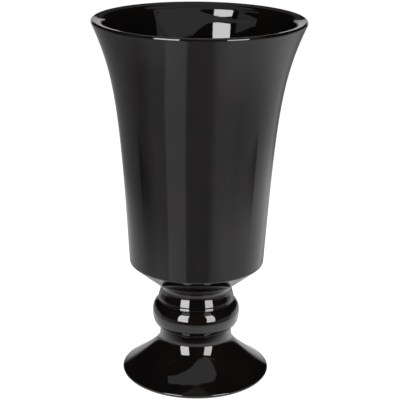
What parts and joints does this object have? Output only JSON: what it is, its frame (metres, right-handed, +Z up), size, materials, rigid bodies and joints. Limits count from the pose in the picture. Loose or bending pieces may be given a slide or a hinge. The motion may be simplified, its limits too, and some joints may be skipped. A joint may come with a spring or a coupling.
{
  "type": "goblet vase",
  "caption": "Black glazed ceramic goblet vase: a flared cup on a short knopped stem with a collar, standing on a wide bell foot that is hollow below.",
  "frame": {"origin": "middle of the foot, on the surface that the vase stands on", "axes": "+Z up along the turning axis, from the foot to the mouth; the vase is round, so X and Y are any two level directions, and -Y faces the viewer"},
  "size_m": [0.1586, 0.1586, 0.28],
  "materials": {
    "black_glaze": "gloss",
    "glazed_slip": "gloss"
  },
  "bodies": {
    "root": {"bowl": "black_glaze", "bowl_slip_joint": "glazed_slip", "collar": "black_glaze", "collar_slip_joint": "glazed_slip", "knop": "black_glaze", "foot_slip_joint": "glazed_slip", "foot": "black_glaze"}
  },
  "joints": []
}
